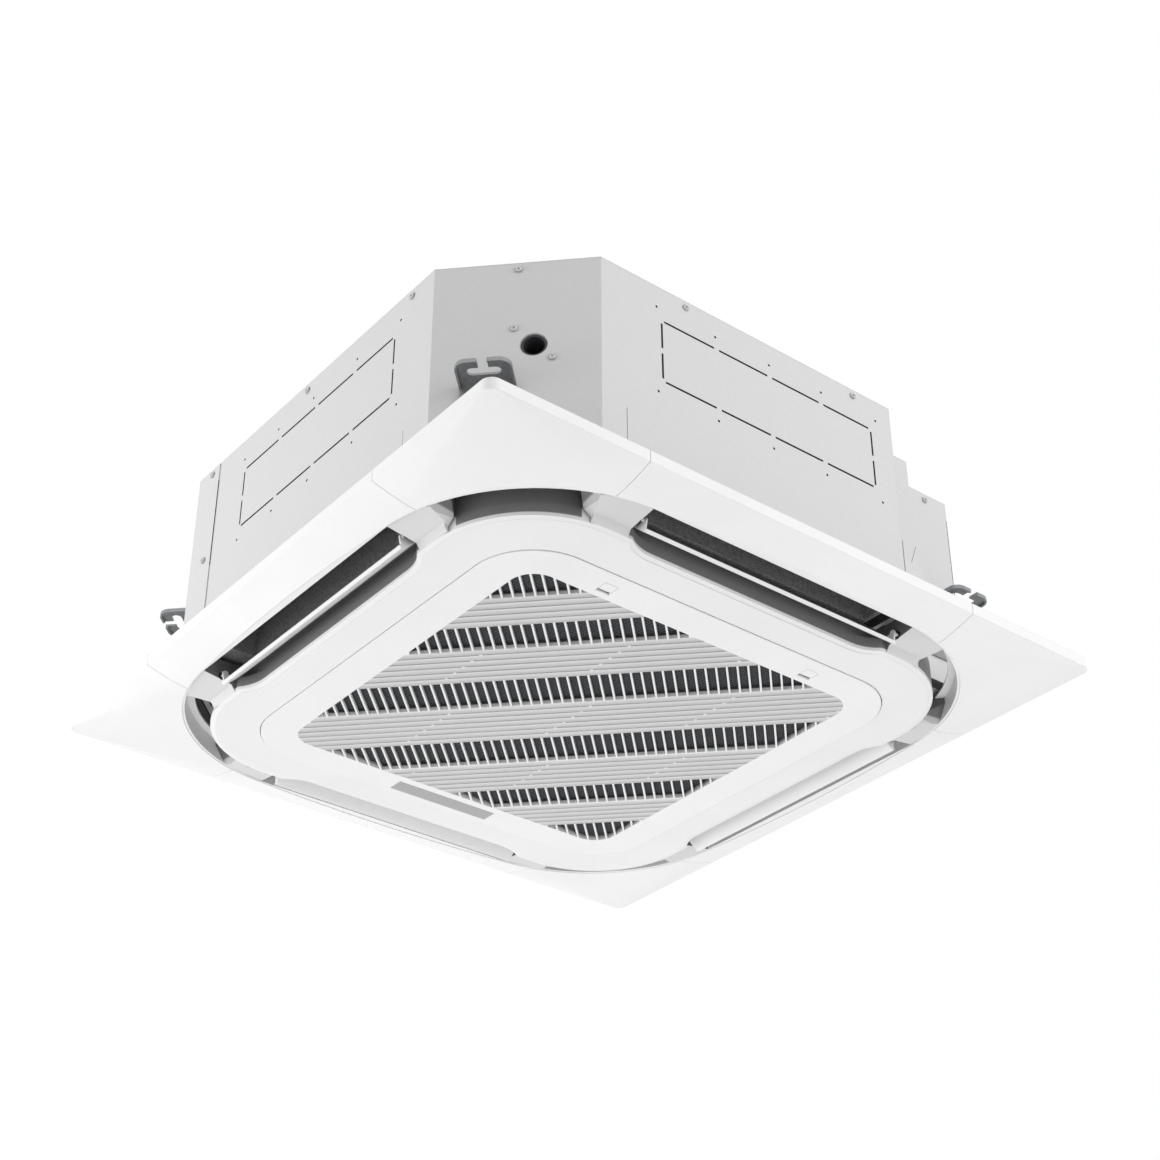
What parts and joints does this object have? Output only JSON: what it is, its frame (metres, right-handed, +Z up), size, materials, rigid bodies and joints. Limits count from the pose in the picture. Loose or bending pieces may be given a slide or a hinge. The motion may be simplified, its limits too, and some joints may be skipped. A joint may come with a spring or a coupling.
{
  "type": "ceiling cassette air conditioner",
  "caption": "Square ceiling cassette indoor unit: cut-corner steel body with hanger brackets, sloped white panel, swinging louvers and a hinged basket-weave intake grille.",
  "frame": {"origin": "middle of the square panel, in the plane of the ceiling that the panel's rim rests against", "axes": "+Z up, out of the room into the ceiling; -Y towards the side with the two grille buttons, whose right end (+X) has the stepped pipe corner; the grille's hinge is on the +Y side"},
  "size_m": [0.95, 0.95, 0.3544],
  "materials": {
    "coated_steel": "satin",
    "screw_steel": "satin",
    "bracket_steel": "satin",
    "foam": "matte",
    "pan_foam": "matte",
    "dark_plastic": "matte",
    "fin_aluminium": "satin",
    "copper": "satin",
    "brass_nut": "satin",
    "fan_plastic": "satin",
    "shaft_steel": "satin",
    "motor_steel": "satin",
    "rubber_mount": "matte",
    "pump_plastic": "satin",
    "hose_rubber": "matte",
    "float_plastic": "satin",
    "seal_foam": "matte",
    "panel_white": "satin",
    "vane_white": "satin",
    "louver_white": "satin",
    "bush_black": "satin",
    "grille_white": "satin",
    "filter_net": "matte",
    "plate_grey": "satin"
  },
  "bodies": {
    "cassette": {"casing_shell": "coated_steel", "top_plate": "coated_steel", "casing_screws": "screw_steel", "hanger_bracket_front_left": "bracket_steel", "hanger_bracket_back_left": "bracket_steel", "hanger_bracket_back_right": "bracket_steel", "hanger_bracket_front_right": "bracket_steel", "foam_liner": "foam", "drain_pan": "pan_foam", "bell_mouth": "dark_plastic", "coil_fins": "fin_aluminium", "coil_end_plates": "fin_aluminium", "coil_return_bends": "copper", "gas_pipe": "copper", "liquid_pipe": "copper", "gas_flare_nut": "brass_nut", "liquid_flare_nut": "brass_nut", "pipe_cover": "coated_steel", "cable_plate": "coated_steel", "fan_motor": "motor_steel", "motor_mounts": "rubber_mount", "drain_pump": "pump_plastic", "drain_hose": "hose_rubber", "drain_socket": "dark_plastic", "float_stem": "pump_plastic", "control_box": "coated_steel", "control_box_lid": "coated_steel", "panel_seal": "seal_foam", "panel_frame": "panel_white", "corner_cover_back_right": "panel_white", "corner_cover_back_left": "panel_white", "corner_cover_front_left": "panel_white", "corner_cover_front_right": "panel_white", "vane_frame": "vane_white", "louver_bushes": "bush_black", "louver_motors": "motor_steel"},
    "louver_front": {"louver_front": "louver_white"},
    "louver_right": {"louver_right": "louver_white"},
    "louver_back": {"louver_back": "louver_white"},
    "louver_left": {"louver_left": "louver_white"},
    "grille": {"intake_grille": "grille_white", "air_filter": "filter_net", "blank_plate": "plate_grey", "grille_hinge_pins": "shaft_steel"},
    "button_left": {"grille_button_left": "grille_white"},
    "button_right": {"grille_button_right": "grille_white"},
    "fan": {"turbo_fan": "fan_plastic", "motor_shaft": "shaft_steel", "fan_nut": "shaft_steel"},
    "float_ring": {"float": "float_plastic"}
  },
  "joints": [
    {"name": "louver_front_swing", "type": "hinge", "parent": "cassette", "child": "louver_front", "pos_m": [0, -0.3945, -0.026], "axis": [-1, 0, 0], "range_deg": [-20, 44]},
    {"name": "louver_right_swing", "type": "hinge", "parent": "cassette", "child": "louver_right", "pos_m": [0.3945, 0, -0.026], "axis": [0, -1, 0], "range_deg": [-20, 44]},
    {"name": "louver_back_swing", "type": "hinge", "parent": "cassette", "child": "louver_back", "pos_m": [0, 0.3945, -0.026], "axis": [1, 0, 0], "range_deg": [-20, 44]},
    {"name": "louver_left_swing", "type": "hinge", "parent": "cassette", "child": "louver_left", "pos_m": [-0.3945, 0, -0.026], "axis": [0, 1, 0], "range_deg": [-20, 44]},
    {"name": "grille_swing", "type": "hinge", "parent": "cassette", "child": "grille", "pos_m": [0, 0.33, -0.035], "axis": [1, 0, 0], "range_deg": [0, 90]},
    {"name": "button_left_slide", "type": "slide", "parent": "grille", "child": "button_left", "axis": [0, 1, 0], "range_m": [0, 0.006], "stiffness_N_per_m": 300, "springref_m": -0.004},
    {"name": "button_right_slide", "type": "slide", "parent": "grille", "child": "button_right", "axis": [0, 1, 0], "range_m": [0, 0.006], "stiffness_N_per_m": 300, "springref_m": -0.004},
    {"name": "fan_spin", "type": "hinge", "parent": "cassette", "child": "fan", "pos_m": [0, 0, 0.15], "axis": [0, 0, 1], "continuous": true},
    {"name": "float_rise", "type": "slide", "parent": "cassette", "child": "float_ring", "axis": [0, 0, 1], "range_m": [0, 0.015]}
  ]
}
